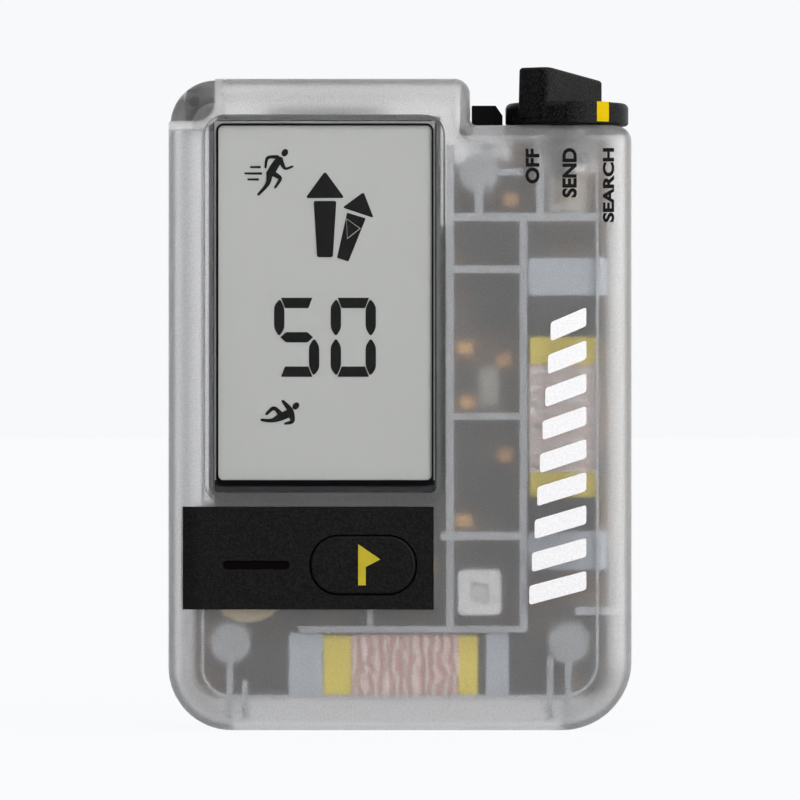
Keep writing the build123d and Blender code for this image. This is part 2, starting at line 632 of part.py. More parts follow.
with BuildPart() as coin_screw:
    post((CELL_X, COIN_SCREW_Z), COIN_HEAD_RADIUS, (BACK - 0.88, BACK - 0.05))
    post((CELL_X, COIN_SCREW_Z), COIN_SHANK_RADIUS, (6.2, BACK - 0.8))
    slab((CELL_X - 0.6, CELL_X + 0.6), grown((COIN_SCREW_Z, COIN_SCREW_Z), 3), (BACK - 0.5, BACK),
         mode=Mode.SUBTRACT)

# Mode knob: a disc with a lever across it, set to the last of its three positions
with BuildPart() as lever:
    with BuildSketch(Plane.YZ) as side:
        with BuildLine():
            Polyline((-LEVER_REACH, LEVER_BOTTOM), (LEVER_DRAFT - LEVER_REACH, KNOB_TOP),
                     (LEVER_NOSE - LEVER_REACH, KNOB_TOP), (LEVER_TAIL, LEVER_TAIL_TOP),
                     (LEVER_TAIL, LEVER_BOTTOM), close=True)
        make_face()
    extrude(amount=LEVER_WIDTH / 2, both=True)
    nose = lever.faces().sort_by(Axis.Y)[0]
    fillet(nose.edges().group_by(Axis.X)[0], LEVER_NEAR_EDGE)
    fillet(lever.faces().sort_by(Axis.Y)[0].edges().group_by(Axis.X)[-1], LEVER_FAR_EDGE)
    crown = lever.faces().sort_by(Axis.Z)[-2:]
    fillet(list(set(crown[0].edges()) | set(crown[1].edges())), LEVER_TOP_EDGE)

marker_turn = math.radians(MARKER_ANGLE)
marker_place = (KNOB_X + KNOB_RADIUS * math.sin(marker_turn), -KNOB_RADIUS * math.cos(marker_turn))
with BuildPart() as marker_block:
    with BuildSketch(Plane.XY.offset(KNOB_Z[0] + 0.4)):
        with Locations(Location((*marker_place, 0), (0, 0, MARKER_ANGLE))):
            Rectangle(MARKER_WIDTH, 2.0)
    extrude(amount=KNOB_Z[1] - KNOB_Z[0])

with BuildPart() as knob_disc:
    column(KNOB_X, 0, KNOB_RADIUS, KNOB_Z)
    fillet(knob_disc.edges().sort_by(Axis.Z)[-1], 0.9)
    chamfer(knob_disc.edges().sort_by(Axis.Z)[0], 0.3)

with BuildPart() as index_pad:
    column(KNOB_X, 0, KNOB_RADIUS + PAD_RISE, (KNOB_Z[0] + 0.2, KNOB_Z[1]))
    slab(PAD_X, KNOB_Z, (-2 * KNOB_RADIUS, LEVER_TAIL - KNOB_RADIUS), mode=Mode.INTERSECT)

with BuildPart() as mode_knob:
    add(knob_disc.part)
    add(index_pad.part)
    add(lever.part.rotate(Axis.Z, -LEVER_ANGLE).moved(Location((KNOB_X, 0, 0))))
    add(marker_block.part, mode=Mode.SUBTRACT)

with BuildPart() as knob_marker:
    add(knob_disc.part)
    add(index_pad.part)
    add(marker_block.part, mode=Mode.INTERSECT)

with BuildPart() as knob_shaft:
    column(KNOB_X, 0, SHAFT_RADIUS, (SLEEVE_END - 1.4, KNOB_Z[0]))
    with BuildSketch(Plane.XY.offset(SLEEVE_END - 0.7)) as groove:
        with Locations((KNOB_X, 0)):
            Circle(SHAFT_RADIUS)
            Circle(SHAFT_RADIUS - 0.6, mode=Mode.SUBTRACT)
    extrude(groove.sketch, amount=0.5, mode=Mode.SUBTRACT)

with BuildPart() as magnet_cup:
    column(KNOB_X, 0, SHAFT_TIP_RADIUS, (SHAFT_END, SLEEVE_END - 1.4))
    column(KNOB_X, 0, MAGNET_RADIUS, (SHAFT_END, SHAFT_END + MAGNET_HEIGHT), mode=Mode.SUBTRACT)

with BuildPart() as knob_magnet:
    column(KNOB_X, 0, MAGNET_RADIUS, (SHAFT_END, SHAFT_END + MAGNET_HEIGHT))

with BuildPart() as knob_clip:
    column(KNOB_X, 0, 3.9, (SLEEVE_END - 0.7, SLEEVE_END - 0.2))
    column(KNOB_X, 0, SHAFT_RADIUS - 0.6, (SLEEVE_END - 0.7, SLEEVE_END - 0.2), mode=Mode.SUBTRACT)
    with BuildSketch(Plane.XY.offset(SLEEVE_END - 0.7)) as gap:
        with Locations((KNOB_X, 3.0)):
            Rectangle(2.0, 3.0)
    extrude(gap.sketch, amount=0.5, mode=Mode.SUBTRACT)

with BuildPart() as knob_o_ring:
    column(KNOB_X, 0, SHAFT_RADIUS + 1.0, O_RING_Z)
    column(KNOB_X, 0, SHAFT_RADIUS + 0.02, O_RING_Z, mode=Mode.SUBTRACT)
    fillet(knob_o_ring.edges(), 0.35)

# Lock button with its spring
lock_y = (-LOCK_HALF_DEPTH, LOCK_HALF_DEPTH)
with BuildPart() as lock_button:
    slab(LOCK_X, (LOCK_FOOT, LOCK_TOP), lock_y)
    with BuildSketch(at_depth(LOCK_HALF_DEPTH)) as slant:
        with BuildLine():
            Polyline((LOCK_X[1], LOCK_SLANT_Z), (LOCK_X[1], LOCK_TOP),
                     (LOCK_X[1] - LOCK_SLANT, LOCK_TOP), close=True)
        make_face()
    extrude(slant.sketch, amount=2 * LOCK_HALF_DEPTH, mode=Mode.SUBTRACT)
    slab(grown(LOCK_X, 0.7), (LOCK_FOOT, LOCK_FOOT + 0.9), grown(lock_y, 0.7))
    column(middle(LOCK_X), 0, 1.45, (LOCK_FOOT, LOCK_SPRING_TOP), mode=Mode.SUBTRACT)

lock_spring_coil = spring_wire(1.05, 0.18, 5, LOCK_SHELF, LOCK_SPRING_TOP, (middle(LOCK_X), 0, 0))
with BuildPart() as lock_spring:
    add(lock_spring_coil)

PIECES = {
    "front_shell": front_shell,
    "inner_frame": inner_frame,
    "back_shell": back_shell,
    "shell_gasket": shell_gasket,
    "case_screws": case_screws,
    "lanyard_pin": lanyard_pin,
    "display_lens": display_lens,
    "display_gasket": display_gasket,
    "lcd_front_glass": lcd_front_glass,
    "lcd_rear_glass": lcd_rear_glass,
    "light_guide": light_guide,
    "lcd_holder": lcd_holder,
    "zebra_strip": zebra_strip,
    "band_cover": band_cover,
    "mark_button": mark_button,
    "mark_button_icon": mark_button_icon,
    "switch_plunger": switch_plunger,
    "push_switch": push_switch,
    "status_window": status_window,
    "light_pipe": light_pipe,
    "status_light": status_light,
    "buzzer_cup": buzzer_cup,
    "buzzer_disc": buzzer_disc,
    "main_board": main_board,
    "microcontroller": microcontroller,
    "radio_amplifier": radio_amplifier,
    "motion_sensor": motion_sensor,
    "power_chip": power_chip,
    "crystal": crystal,
    "capacitors": capacitors,
    "resistors": resistors,
    "hall_sensors": hall_sensors,
    "upright_core": upright_core,
    "upright_winding": upright_winding,
    "upright_tape": upright_tape,
    "upright_holders": upright_holders,
    "level_core": level_core,
    "level_winding": level_winding,
    "level_tape": level_tape,
    "level_holders": level_holders,
    "square_antenna": square_antenna,
    "square_antenna_core": square_antenna_core,
    "battery_cell": battery_cell,
    "battery_contact": battery_contact,
    "battery_spring_plate": battery_spring_plate,
    "battery_spring": battery_spring,
    "door_gasket": door_gasket,
    "battery_door": battery_door,
    "door_hinge_pin": door_hinge_pin,
    "coin_screw": coin_screw,
    "mode_knob": mode_knob,
    "knob_marker": knob_marker,
    "knob_shaft": knob_shaft,
    "magnet_cup": magnet_cup,
    "knob_magnet": knob_magnet,
    "knob_clip": knob_clip,
    "knob_o_ring": knob_o_ring,
    "lock_button": lock_button,
    "lock_spring": lock_spring,
}

os.makedirs("parts", exist_ok=True)
for name, piece in PIECES.items():
    piece.part.label = name
    export_step(piece.part, f"parts/{name}.step")
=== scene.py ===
"""Looks of the avalanche transceiver: materials, display figures, printed marks, light and camera.

Metres, in the CAD frame: the display faces -Y, +X is to its right and +Z is up.
"""

import math

import bmesh
import bpy
from mathutils import Matrix, Vector


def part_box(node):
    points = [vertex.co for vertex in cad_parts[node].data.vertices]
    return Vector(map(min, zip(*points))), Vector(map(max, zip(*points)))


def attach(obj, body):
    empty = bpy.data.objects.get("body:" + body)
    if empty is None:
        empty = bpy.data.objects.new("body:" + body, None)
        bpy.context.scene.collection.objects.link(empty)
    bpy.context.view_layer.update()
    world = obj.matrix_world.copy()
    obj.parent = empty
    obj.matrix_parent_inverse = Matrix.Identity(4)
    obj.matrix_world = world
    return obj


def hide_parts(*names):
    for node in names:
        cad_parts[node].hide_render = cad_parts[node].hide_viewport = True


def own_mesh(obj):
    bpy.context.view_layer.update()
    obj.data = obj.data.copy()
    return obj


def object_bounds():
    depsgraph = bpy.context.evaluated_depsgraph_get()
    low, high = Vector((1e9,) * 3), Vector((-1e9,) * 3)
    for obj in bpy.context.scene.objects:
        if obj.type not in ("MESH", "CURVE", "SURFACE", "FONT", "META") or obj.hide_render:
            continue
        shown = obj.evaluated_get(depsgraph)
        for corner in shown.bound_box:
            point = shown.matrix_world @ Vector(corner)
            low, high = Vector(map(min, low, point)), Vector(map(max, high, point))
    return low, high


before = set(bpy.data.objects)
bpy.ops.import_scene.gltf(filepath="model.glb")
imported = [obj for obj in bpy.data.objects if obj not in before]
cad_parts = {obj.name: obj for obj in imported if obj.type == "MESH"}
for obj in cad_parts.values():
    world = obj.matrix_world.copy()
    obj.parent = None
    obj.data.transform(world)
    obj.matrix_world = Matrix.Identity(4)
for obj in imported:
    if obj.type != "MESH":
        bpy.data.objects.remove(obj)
cad_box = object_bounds()
MM = 0.001

# Colours
PAPER = (0.939, 0.947, 0.965)
FROSTED = (0.98, 0.98, 0.985)
MILKY = (0.90, 0.93, 0.97)
# painted shade for the inside of the lanyard pocket
POCKET_SHADE = (0.02, 0.015, 0.012)
LOCK_BLACK = (0.002, 0.002, 0.002)
LOCK_STEM = (0.75, 0.76, 0.78)
PICTURE = (0.53, 0.54, 0.525)
PICTURE_LINE = (0.005, 0.005, 0.005)
DISPLAY_BORDER = (0.035, 0.035, 0.04)
STEEL = (0.52, 0.52, 0.53)
# painted shade for the screw heads' recesses
SCREW_RECESS_SHADE = (0.04, 0.04, 0.04)
COPPER = (0.90, 0.62, 0.56)
SLEEVE_DARK = (0.03, 0.035, 0.05)
SLEEVE_GOLD = (0.62, 0.42, 0.10)
CELL_METAL = (0.45, 0.45, 0.46)

# Surface detail: cycles of noise in a metre, roughness, the pitch of the windings' strands in metres, and
# the length of a wave texture's wave at scale 1
BLACK_GRAIN_AND_GLINTS = 3400
CASE_SPECKS = 4200
FROST_ROUGHNESS = 0.34
POLISHED_ROUGHNESS = 0.24
STRAND_PITCH = 0.0016
WAVE_LENGTH = 0.314159

# Light: how bright the surround is in each direction
DIM_DIRECTION = (-0.30, -0.95, 0.0)
DIM_LIGHT = 0.10
LEFT_LIGHT = 0.85
RIGHT_LIGHT = 4.4
TOP_LIGHT = 0.85
BACK_LIGHT = 1.25
BACK_TOP_LIGHT = 0.6
FLOOR_LIGHT = 0.6
FLOOR_TONE = 0.985

# Millimetres: the print's and the display figures' fronts, thicknesses and overlap step
CASE_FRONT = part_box("front_shell")[0].y / MM
PRINT_DEPTH = 0.02
FIGURE_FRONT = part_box("lcd_front_glass")[0].y / MM - 0.06
FIGURE_DEPTH = 0.05
FIGURE_STEP = 0.012


# ---------------------------------------------------------------------------------------------- node helpers

def tree(owner):
    """The nodes and links of a material or a world."""
    return owner.node_tree.nodes, owner.node_tree.links


def math_node(owner, operation, first, second):
    """One operation on two numbers, each a fixed value or another node's output."""
    nodes, links = tree(owner)
    node = nodes.new("ShaderNodeMath")
    node.operation = operation
    for socket, value in zip(node.inputs, (first, second)):
        if isinstance(value, float):
            socket.default_value = value
        else:
            links.new(value, socket)
    return node.outputs["Value"]


def map_range(owner, source, start, end, low=0.0, high=1.0, interpolation="LINEAR"):
    """Carries a number from the range start to end into the range low to high."""
    nodes, links = tree(owner)
    step = nodes.new("ShaderNodeMapRange")
    step.interpolation_type = interpolation
    step.inputs["From Min"].default_value = start
    step.inputs["From Max"].default_value = end
    step.inputs["To Min"].default_value = low
    step.inputs["To Max"].default_value = high
    links.new(source, step.inputs["Value"])
    return step.outputs["Result"]


def soft_step(owner, source, start, end, low, high):
    """A smooth step of a number from low to high."""
    return map_range(owner, source, start, end, low, high, "SMOOTHSTEP")


def color_ramp(owner, factor, stops, interpolation="LINEAR"):
    """Turns a factor into colour; each stop is a position and a colour, in rising order."""
    nodes, links = tree(owner)
    ramp = nodes.new("ShaderNodeValToRGB")
    ramp.color_ramp.interpolation = interpolation
    elements = ramp.color_ramp.elements
    for element, (position, color) in zip((elements[1], elements[0]), (stops[-1], stops[0])):
        element.position = position
        element.color = (*color, 1.0)
    for position, color in stops[1:-1]:
        elements.new(position).color = (*color, 1.0)
    links.new(factor, ramp.inputs["Fac"])
    return ramp.outputs["Color"]


def blend_colors(owner, blend, first, second):
    """Two colour outputs, one multiplied by or added to the other."""
    nodes, links = tree(owner)
    mix = nodes.new("ShaderNodeMix")
    mix.data_type = "RGBA"
    mix.blend_type = blend
    mix.inputs["Factor"].default_value = 1.0
    links.new(first, mix.inputs["A"])
    links.new(second, mix.inputs["B"])
    return mix.outputs["Result"]


def coordinates(owner, kind="Object"):
    """The object's own coordinates, or another kind of texture coordinates."""
    return owner.node_tree.nodes.new("ShaderNodeTexCoord").outputs[kind]


def split(owner, vector):
    """A vector's X, Y and Z."""
    nodes, links = tree(owner)
    axes = nodes.new("ShaderNodeSeparateXYZ")
    links.new(vector, axes.inputs["Vector"])
    return axes.outputs


def noise_factor(material, scale, detail=3.0, stretch=(1.0, 1.0, 1.0)):
    """Noise over the object's own coordinates; scale is in cycles per metre."""
    nodes, links = tree(material)
    mapping = nodes.new("ShaderNodeMapping")
    mapping.inputs["Scale"].default_value = stretch
    noise = nodes.new("ShaderNodeTexNoise")
    noise.inputs["Scale"].default_value = scale
    noise.inputs["Detail"].default_value = detail
    links.new(coordinates(material), mapping.inputs["Vector"])
    links.new(mapping.outputs["Vector"], noise.inputs["Vector"])
    return noise.outputs["Fac"]


# ------------------------------------------------------------------------------------------------- materials

def new_material(name, color, roughness, **sockets):
    """A principled material with its uniform values set on the shader's own sockets."""
    material = bpy.data.materials.new(name)
    material.use_nodes = True
    shader = material.node_tree.nodes["Principled BSDF"]
    shader.inputs["Base Color"].default_value = (*color, 1.0)
    shader.inputs["Roughness"].default_value = roughness
    for socket, value in sockets.items():
        shader.inputs[socket.replace("_", " ")].default_value = value
    return material


def feed(material, socket, source):
    """Links an output to one of the shader's sockets."""
    nodes, links = tree(material)
    links.new(source, nodes["Principled BSDF"].inputs[socket])


def add_bump(material, height, depth):
    """Relief from a height of 0 to 1; depth is in metres."""
    nodes, links = tree(material)
    bump = nodes.new("ShaderNodeBump")
    bump.inputs["Strength"].default_value = 1.0
    bump.inputs["Distance"].default_value = depth
    links.new(height, bump.inputs["Height"])
    feed(material, "Normal", bump.outputs["Normal"])


def add_grain(material, scale, depth, stretch=(1.0, 1.0, 1.0)):
    """A fine grain in the surface, depth in metres."""
    add_bump(material, noise_factor(material, scale, 2.0, stretch), depth)


def add_tint(material, scale, low, high, spread=(0.35, 0.65)):
    """Lets the base colour drift between two colours."""
    factor = noise_factor(material, scale)
    feed(material, "Base Color", color_ramp(material, factor, [(spread[0], low), (spread[1], high)]))


def add_roughness_drift(material, scale, low, high):
    """Lets the roughness drift between two values."""
    feed(material, "Roughness", map_range(material, noise_factor(material, scale, 4.0), 0.3, 0.7, low, high))


def box_mask(material, low, high, soft):
    """A factor of 1 inside a box in the object's coordinates, falling to 0 within soft of the box's faces."""
    axes = split(material, coordinates(material))
    mask = None
    for axis, (start, end) in zip("XYZ", zip(low, high)):
        for edge, inward in ((start, 1), (end, -1)):
            step = map_range(material, axes[axis], edge, edge + inward * soft)
            mask = step if mask is None else math_node(material, "MULTIPLY", mask, step)
    return mask


def frosted_case():
    """Frosted clear plastic with a fine speckle; the lanyard pocket is darkened with painted shade, in a
    clearer corner.
    """
    material = new_material("frosted_case", FROSTED, FROST_ROUGHNESS, Transmission_Weight=0.95, IOR=1.46)
    left, front = cad_box[0][0], cad_box[0][1]
    back, top = cad_box[1][1], cad_box[1][2]
    pin_low, pin_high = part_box("lanyard_pin")
    pocket_low = (left + 3.0 * MM, pin_low.y, pin_low.z - 2.5 * MM)
    pocket_high = (pin_high.x + 2.7 * MM, pin_high.y, top - 3.5 * MM)
    # painted shade: the case's colour turns near black inside the lanyard pocket's box
    mask = box_mask(material, pocket_low, pocket_high, 0.2 * MM)
    clear_low = (left - 5 * MM, front - 5 * MM, pocket_low[2] - 3 * MM)
    clear_high = (pocket_high[0] + 3 * MM, back + 5 * MM, top + 5 * MM)
    corner = box_mask(material, clear_low, clear_high, 3 * MM)
    feed(material, "Roughness", soft_step(material, corner, 0.0, 1.0, FROST_ROUGHNESS, POLISHED_ROUGHNESS))
    pocket_shaded = color_ramp(material, mask, [(0.0, FROSTED), (1.0, POCKET_SHADE)])
    specks = color_ramp(material, noise_factor(material, CASE_SPECKS),
                        [(0.38, (0.78, 0.78, 0.78)), (0.62, (1.0, 1.0, 1.0))])
    feed(material, "Base Color", blend_colors(material, "MULTIPLY", pocket_shaded, specks))
    add_grain(material, 5200, 0.00003)
    return material


def milky_frame():
    """The inner frame's milky plastic, with a slight drift of tone."""
    material = new_material("milky_frame", MILKY, 0.3, Transmission_Weight=0.45, IOR=1.42)
    add_tint(material, 700, tuple(channel * 0.82 for channel in MILKY), MILKY)
    add_grain(material, 3000, 0.00002)
    return material


def clear_lens():
    """The polished window over the display."""
    material = new_material("clear_lens", (0.985, 0.988, 0.99), 0.03, Transmission_Weight=1.0, IOR=1.28)
    add_roughness_drift(material, 60, 0.02, 0.05)
    return material


def moulded_black(name, dark, light, roughness, specular):
    """Black plastic with an eroded mould's grain and fine pale specks, which are painted glints of that
    grain.
    """
    material = new_material(name, (dark, dark, dark), roughness, Specular_IOR_Level=specular)
    # painted glints: the colour drifts to a paler tone in fine specks, for the sparkle of the grain
    add_tint(material, BLACK_GRAIN_AND_GLINTS, (dark, dark, dark), (light, light, light * 1.03), (0.42, 0.66))
    add_grain(material, BLACK_GRAIN_AND_GLINTS, 0.00004)
    return material


def lock_plastic():
    """The lock button: black where it stands out of the shoulder, milky on its hidden stem."""
    material = new_material("lock_plastic", LOCK_BLACK, 0.5, Specular_IOR_Level=0.04)
    add_grain(material, BLACK_GRAIN_AND_GLINTS, 0.00004)
    low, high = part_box("lock_button")
    cap_low = (low.x - 1, low.y - 1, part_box("mode_knob")[0].z - 0.9 * MM)
    mask = box_mask(material, cap_low, (high.x + 1, high.y + 1, high.z + 1), 0.05 * MM)
    feed(material, "Base Color", color_ramp(material, mask, [(0.0, LOCK_STEM), (1.0, LOCK_BLACK)]))
    return material


def display_glass():
    """The pale face of the display, with a black line and a dark grey border below its picture."""
    material = new_material("display_glass", (0.5, 0.5, 0.5), 0.42, Specular_IOR_Level=0.15)
    low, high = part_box("lcd_rear_glass")
    picture_low = (low.x - 1, low.y - 1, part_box("display_gasket")[0].z + 0.15 * MM)
    mask = box_mask(material, picture_low, (high.x + 1, high.y + 1, high.z + 1), 0.8 * MM)
    stops = [(0.0, DISPLAY_BORDER), (0.06, PICTURE_LINE), (0.94, PICTURE_LINE), (1.0, PICTURE)]
    feed(material, "Base Color", color_ramp(material, mask, stops))
    return material


def board_material():
    """Dark solder mask with brown patches and a fine pattern of tracks."""
    material = new_material("board_mask", (0.02, 0.022, 0.022), 0.5)
    nodes, links = tree(material)
    cells = nodes.new("ShaderNodeTexVoronoi")
    cells.distance = "MANHATTAN"
    cells.feature = "F1"
    cells.inputs["Scale"].default_value = 420
    links.new(coordinates(material), cells.inputs["Vector"])
    tracks = color_ramp(material, cells.outputs["Distance"],
                        [(0.30, (0.018, 0.02, 0.022)), (0.38, (0.06, 0.06, 0.055))])
    patches = color_ramp(material, noise_factor(material, 170, 4.0),
                         [(0.40, (0.0, 0.0, 0.004)), (0.66, (0.17, 0.085, 0.035))])
    feed(material, "Base Color", blend_colors(material, "ADD", tracks, patches))
    return material


def metal(name, color, roughness):
    """Turned or rolled metal with a drawn grain."""
    material = new_material(name, color, roughness, Metallic=1.0)
    add_grain(material, 900, 0.00001, (1.0, 1.0, 6.0))
    add_roughness_drift(material, 300, roughness * 0.8, min(1.0, roughness * 1.3))
    return material


def screw_steel(node):
    """Turned steel on a screw head's face, with painted shade in its recess."""
    material = metal(node + "_steel", STEEL, 0.35)
    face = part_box(node)[1].y
    # painted shade: steel deeper than the head's face turns near black, which darkens the slot
    mask = box_mask(material, (-1, face - 0.12 * MM, -1), (1, face + 0.12 * MM, 1), 0.05 * MM)
    feed(material, "Base Color", color_ramp(material, mask, [(0.0, SCREW_RECESS_SHADE), (1.0, STEEL)]))
    return material


def plain(name, color, roughness, scale=900, change=0.12, grain=0.00001, shine=0.5):
    """A moulded or pressed material with a slight drift of tone."""
    material = new_material(name, color, roughness, Specular_IOR_Level=shine)
    low = tuple(channel * (1 - change) for channel in color)
    high = tuple(min(1.0, channel * (1 + change)) for channel in color)
    add_tint(material, scale, low, high)
    add_grain(material, scale * 4, grain)
    return material


def wound_wire(name, axis, low, high):
    """Strands of fine wire, wound a little unevenly along an axis."""
    material = new_material(name, COPPER, 0.45)
    nodes, links = tree(material)
    wave = nodes.new("ShaderNodeTexWave")
    wave.wave_type = "BANDS"
    wave.bands_direction = axis
    wave.inputs["Scale"].default_value = WAVE_LENGTH / STRAND_PITCH
    wave.inputs["Distortion"].default_value = 5.0
    wave.inputs["Detail"].default_value = 1.0
    wave.inputs["Detail Scale"].default_value = 2.0
    links.new(coordinates(material), wave.inputs["Vector"])
    strands = wave.outputs["Fac"]
    feed(material, "Base Color", color_ramp(material, strands, [(0.0, low), (0.75, high)]))
    add_bump(material, strands, STRAND_PITCH / 4)
    return material


def battery_sleeve():
    """A dark printed sleeve with a gold band near one end and bare metal at both ends."""
    material = new_material("battery_sleeve", (0.05, 0.06, 0.09), 0.3)
    low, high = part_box("battery_cell")
    along = map_range(material, split(material, coordinates(material))["Z"], low.z, high.z)
    stops = [(0.0, CELL_METAL), (0.02, SLEEVE_DARK), (0.72, SLEEVE_GOLD), (0.975, CELL_METAL)]
    feed(material, "Base Color", color_ramp(material, along, stops, "CONSTANT"))
    add_grain(material, 2000, 0.000005)
    return material


def translucent(name, color, transmission, roughness):
    """A tinted plastic that lets some light through."""
    material = new_material(name, color, roughness, Transmission_Weight=transmission, IOR=1.5)
    add_grain(material, 3000, 0.00001)
    return material


def finish_nodes():
    """Gives every CAD node its material."""
    table = {
        frosted_case(): ["front_shell", "back_shell"],
        milky_frame(): ["inner_frame"],
        clear_lens(): ["display_lens"],
        moulded_black("black_moulded", 0.003, 0.009, 0.5, 0.08): [
            "band_cover", "mark_button", "battery_door"],
        moulded_black("black_knob", 0.001, 0.012, 0.4, 0.07): ["mode_knob", "knob_shaft"],
        lock_plastic(): ["lock_button"],
        plain("flag_yellow", (0.37, 0.30, 0.015), 0.6, 500, 0.06, shine=0.2): ["mark_button_icon"],
        plain("marker_yellow", (0.44, 0.30, 0.0), 0.7, 500, 0.04, shine=0.05): ["knob_marker"],
        plain("soft_black", (0.012, 0.012, 0.012), 0.7): ["display_gasket"],
        plain("seal_rubber", (0.20, 0.21, 0.22), 0.7): ["shell_gasket", "door_gasket", "zebra_strip"],
        plain("seal_silicone", (0.62, 0.62, 0.61), 0.5): ["knob_o_ring"],
        metal("turned_steel", STEEL, 0.35): ["lanyard_pin", "door_hinge_pin", "knob_magnet"],
        screw_steel("case_screws"): ["case_screws"],
        screw_steel("coin_screw"): ["coin_screw"],
        metal("spring_steel", (0.66, 0.65, 0.63), 0.22): [
            "battery_contact", "battery_spring_plate", "battery_spring", "knob_clip", "lock_spring"],
        display_glass(): ["lcd_front_glass", "lcd_rear_glass"],
        plain("white_moulded", (0.72, 0.72, 0.70), 0.4): ["light_guide"],
        plain("coil_former", (0.93, 0.93, 0.94), 0.5): ["square_antenna"],
        plain("grey_moulded", (0.09, 0.09, 0.095), 0.5): ["lcd_holder"],
        plain("chip_moulded", (0.02, 0.02, 0.022), 0.5): [
            "switch_plunger", "buzzer_cup", "microcontroller", "radio_amplifier", "motion_sensor",
            "power_chip", "resistors", "hall_sensors"],
        metal("nickel_can", (0.52, 0.50, 0.46), 0.35): ["push_switch", "crystal"],
        plain("ferrite", (0.035, 0.035, 0.038), 0.55, 1400, 0.3, 0.00003): ["upright_core", "level_core"],
        plain("square_core", (0.72, 0.72, 0.73), 0.6): ["square_antenna_core"],
        translucent("holder_blue", (0.72, 0.78, 0.86), 0.2, 0.4): ["upright_holders", "level_holders"],
        # painted light: the upright winding, on the lit right side, gets paler colours than the level winding
        # of the same wire
        wound_wire("winding_upright_lit", "Z", (0.94, 0.68, 0.63), (1.0, 0.96, 0.94)): ["upright_winding"],
        wound_wire("winding_level", "X", (0.70, 0.34, 0.28), (1.0, 0.82, 0.77)): ["level_winding"],
        plain("yellow_tape", (1.0, 0.80, 0.06), 0.4, 700, 0.02): ["upright_tape", "level_tape"],
        board_material(): ["main_board"],
        plain("capacitor_ceramic", (1.0, 0.50, 0.17), 0.4): ["capacitors"],
        metal("buzzer_brass", (0.70, 0.58, 0.36), 0.35): ["buzzer_disc"],
        plain("smoked_red", (0.0012, 0.0004, 0.0004), 0.4, shine=0.04): ["status_window"],
        plain("status_red", (0.20, 0.006, 0.006), 0.35): ["status_light"],
        plain("light_pipe_red", (0.03, 0.005, 0.006), 0.3): ["light_pipe"],
        battery_sleeve(): ["battery_cell"],
        plain("cream_moulded", (0.50, 0.43, 0.33), 0.45): ["magnet_cup"],
    }
    for material, names in table.items():
        for name in names:
            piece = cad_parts[name]
            piece.data.materials.clear()
            piece.data.materials.append(material)


# ---------------------------------------------------------------------------------- flat figures and print

def stamp(name, outlines, front, thickness, material):
    """A thin plate whose outline is given in X and Z millimetres; its front face is at depth front."""
    curve = bpy.data.curves.new(name, "CURVE")
    curve.dimensions = "2D"
    curve.fill_mode = "BOTH"
    curve.extrude = thickness / 2 * MM
    for outline in outlines:
        spline = curve.splines.new("POLY")
        spline.points.add(len(outline) - 1)
        for point, (x, z) in zip(spline.points, outline):
            point.co = (x * MM, z * MM, 0.0, 1.0)
        spline.use_cyclic_u = True
    return settle(curve, name, front, thickness, material)


def settle(curve, name, front, thickness, material):
    """Turns a flat curve or text into a mesh on the case's body that faces the front."""
    sketch = bpy.data.objects.new(name + "_sketch", curve)
    bpy.context.scene.collection.objects.link(sketch)
    bpy.context.view_layer.update()
    mesh = bpy.data.meshes.new_from_object(sketch.evaluated_get(bpy.context.evaluated_depsgraph_get()))
    bpy.data.objects.remove(sketch)
    mesh.transform(Matrix.Rotation(math.pi / 2, 4, "X"))
    mesh.transform(Matrix.Translation((0, (front + thickness / 2) * MM, 0)))
    clean = bmesh.new()
    clean.from_mesh(mesh)
    bmesh.ops.remove_doubles(clean, verts=clean.verts, dist=1e-7)
    bmesh.ops.recalc_face_normals(clean, faces=clean.faces)
    clean.to_mesh(mesh)
    clean.free()
    mesh.materials.clear()
    mesh.materials.append(material)
    piece = bpy.data.objects.new(name, mesh)
    bpy.context.scene.collection.objects.link(piece)
    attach(piece, "root")
    return piece


def round_corners(points, radius, steps=4):
    """A closed outline with each corner replaced by a short curve."""
    rounded = []
    count = len(points)
    for index in range(count):
        here = Vector(points[index])
        before = Vector(points[index - 1])
        after = Vector(points[(index + 1) % count])
        reach = min(radius, (before - here).length / 2, (after - here).length / 2)
        start = here + (before - here).normalized() * reach
        end = here + (after - here).normalized() * reach
        for step in range(steps + 1):
            t = step / steps
            rounded.append(tuple(start * (1 - t) ** 2 + here * 2 * t * (1 - t) + end * t ** 2))
    return rounded


def circle(center, radius, count=32, squash=1.0, lean=0.0):
    """A closed ring of points, or an oval that leans by an angle."""
    ring = []
    for step in range(count):
        angle = 2 * math.pi * step / count
        x, z = radius * squash * math.cos(angle), radius * math.sin(angle)
        ring.append((center[0] + x * math.cos(lean) - z * math.sin(lean),
                     center[1] + x * math.sin(lean) + z * math.cos(lean)))
    return ring


